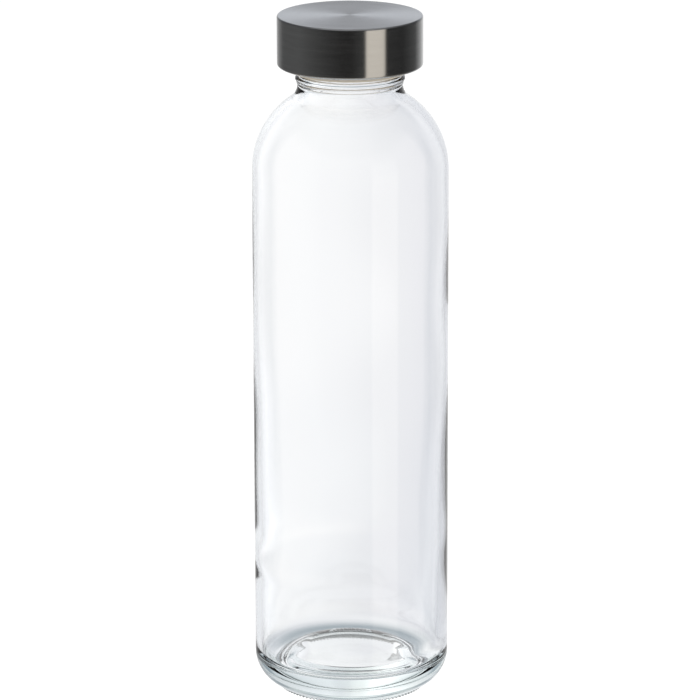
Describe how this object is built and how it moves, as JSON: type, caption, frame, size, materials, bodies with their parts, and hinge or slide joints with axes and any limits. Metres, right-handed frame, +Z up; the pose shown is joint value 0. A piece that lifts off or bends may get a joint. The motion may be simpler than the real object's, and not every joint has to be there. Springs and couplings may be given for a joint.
{
  "type": "glass water bottle",
  "caption": "Round clear glass water bottle with domed shoulder, pushed-up base and a brushed steel screw cap over a threaded plastic insert and seal.",
  "frame": {"origin": "middle of the base, on the plane of the standing ring", "axes": "+Z up along the bottle's axis towards the cap; the bottle is round, so +X and -Y only fix the start of the threads"},
  "size_m": [0.064, 0.064, 0.226],
  "materials": {
    "clear_glass": "clear polished soda-lime glass",
    "brushed_steel": "brushed stainless steel, lines round the axis",
    "insert_plastic": "moulded satin plastic, warm grey",
    "silicone": "smooth translucent silicone"
  },
  "bodies": {
    "bottle": {"glass_bottle": "clear_glass"},
    "seal": {"seal_ring": "silicone"},
    "cap": {"cap_shell": "brushed_steel", "cap_insert": "insert_plastic"}
  },
  "joints": [
    {"name": "cap_rise", "type": "slide", "parent": "bottle", "child": "seal", "axis": [0, 0, 1], "range_m": [0, 0.02]},
    {"name": "cap_turn", "type": "hinge", "parent": "seal", "child": "cap", "pos_m": [0, 0, 0.2159], "axis": [0, 0, 1], "range_deg": [0, 1800]}
  ],
  "couplings": [
    {"joint": "cap_rise", "follows": "cap_turn", "m_per_rad": 0.00063662}
  ]
}
